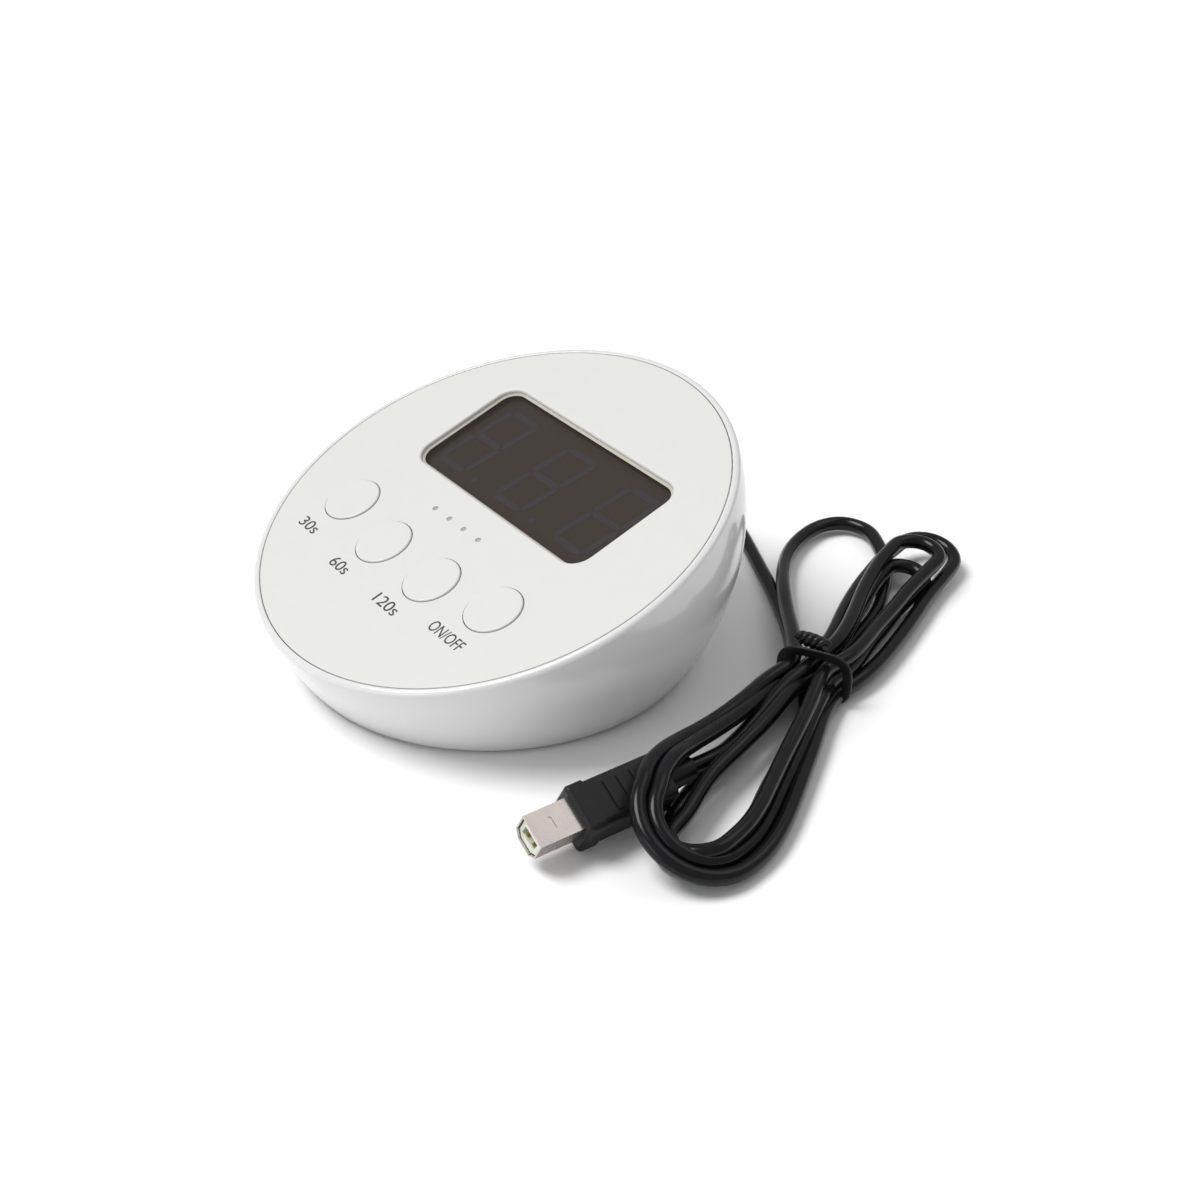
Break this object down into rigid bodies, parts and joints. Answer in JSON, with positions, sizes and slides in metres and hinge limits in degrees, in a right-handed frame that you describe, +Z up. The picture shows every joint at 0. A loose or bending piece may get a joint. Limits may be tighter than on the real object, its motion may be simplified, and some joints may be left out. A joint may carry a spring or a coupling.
{
  "type": "uv curing lamp timer unit",
  "caption": "Table-top timer control for a UV curing lamp: domed white case, sloping face with digit display, push buttons and indicator dots, captive cord tied in a hank, type-B plug.",
  "frame": {"origin": "middle of the housing's box on the table, under the sphere's centre to within 2 mm; the cord's nodes aren't counted", "axes": "+X the operator's right, +Y the back, towards which the face rises, +Z up"},
  "size_m": [0.1836, 0.1893, 0.0608],
  "materials": {
    "housing_white": "gloss moulded ABS",
    "panel_white": "fine satin moulded ABS",
    "button_white": "satin moulded ABS",
    "smoked_window": "smoked acrylic",
    "display_black": "black epoxy-filled case",
    "segment_grey": "unlit segment diffuser",
    "guide_clear": "clear acrylic light guide",
    "board_green": "solder-masked board",
    "component_black": "moulded component body",
    "component_tan": "component coating",
    "switch_metal": "tact switch frame",
    "plunger_black": "moulded plunger",
    "screw_steel": "zinc-plated steel",
    "pin_metal": "tinned pins",
    "led_white": "LED package",
    "capacitor_black": "sleeved can",
    "connector_white": "nylon connector",
    "wire_mixed": "PVC wire insulation",
    "cord_black": "glossy PVC jacket",
    "mould_black": "satin PVC overmould",
    "tie_black": "PVC-coated wire",
    "shell_nickel": "nickel-plated shell",
    "insert_pale": "pale insulator",
    "contact_gold": "plated contacts",
    "foot_rubber": "soft rubber",
    "base_white": "textured moulded ABS"
  },
  "bodies": {
    "case": {"housing_shell": "housing_white", "face_panel": "panel_white", "display_window": "smoked_window", "display_module": "display_black", "display_segments": "segment_grey", "display_pins": "pin_metal", "light_guide": "guide_clear", "indicator_leds": "led_white", "switch_bodies": "switch_metal", "control_board": "board_green", "board_screws": "screw_steel", "controller_chip": "component_black", "crystal": "switch_metal", "buzzer": "component_black", "regulator": "component_black", "capacitors": "capacitor_black", "resistors": "component_tan", "cord_connector": "connector_white", "connector_plug": "connector_white", "inner_leads": "wire_mixed", "jacket_end": "cord_black", "cord_clamp": "base_white", "clamp_screws": "screw_steel", "base_plate": "base_white", "base_screws": "screw_steel", "rubber_feet": "foot_rubber", "strain_relief": "mould_black", "cord_lead": "cord_black", "cord_loop": "cord_black", "cord_hank": "cord_black", "twist_tie": "tie_black", "plug_overmould": "mould_black", "plug_shell": "shell_nickel", "plug_insert": "insert_pale", "plug_contacts": "contact_gold"},
    "button_30s": {"button_30s": "button_white", "plunger_30s": "plunger_black"},
    "button_60s": {"button_60s": "button_white", "plunger_60s": "plunger_black"},
    "button_120s": {"button_120s": "button_white", "plunger_120s": "plunger_black"},
    "button_on_off": {"button_on_off": "button_white", "plunger_on_off": "plunger_black"}
  },
  "joints": [
    {"name": "press_30s", "type": "slide", "parent": "case", "child": "button_30s", "axis": [0, 0.3272, -0.9449], "range_m": [0, 0.0005], "stiffness_N_per_m": 900},
    {"name": "press_60s", "type": "slide", "parent": "case", "child": "button_60s", "axis": [0, 0.3272, -0.9449], "range_m": [0, 0.0005], "stiffness_N_per_m": 900},
    {"name": "press_120s", "type": "slide", "parent": "case", "child": "button_120s", "axis": [0, 0.3272, -0.9449], "range_m": [0, 0.0005], "stiffness_N_per_m": 900},
    {"name": "press_on_off", "type": "slide", "parent": "case", "child": "button_on_off", "axis": [0, 0.3272, -0.9449], "range_m": [0, 0.0005], "stiffness_N_per_m": 900}
  ]
}
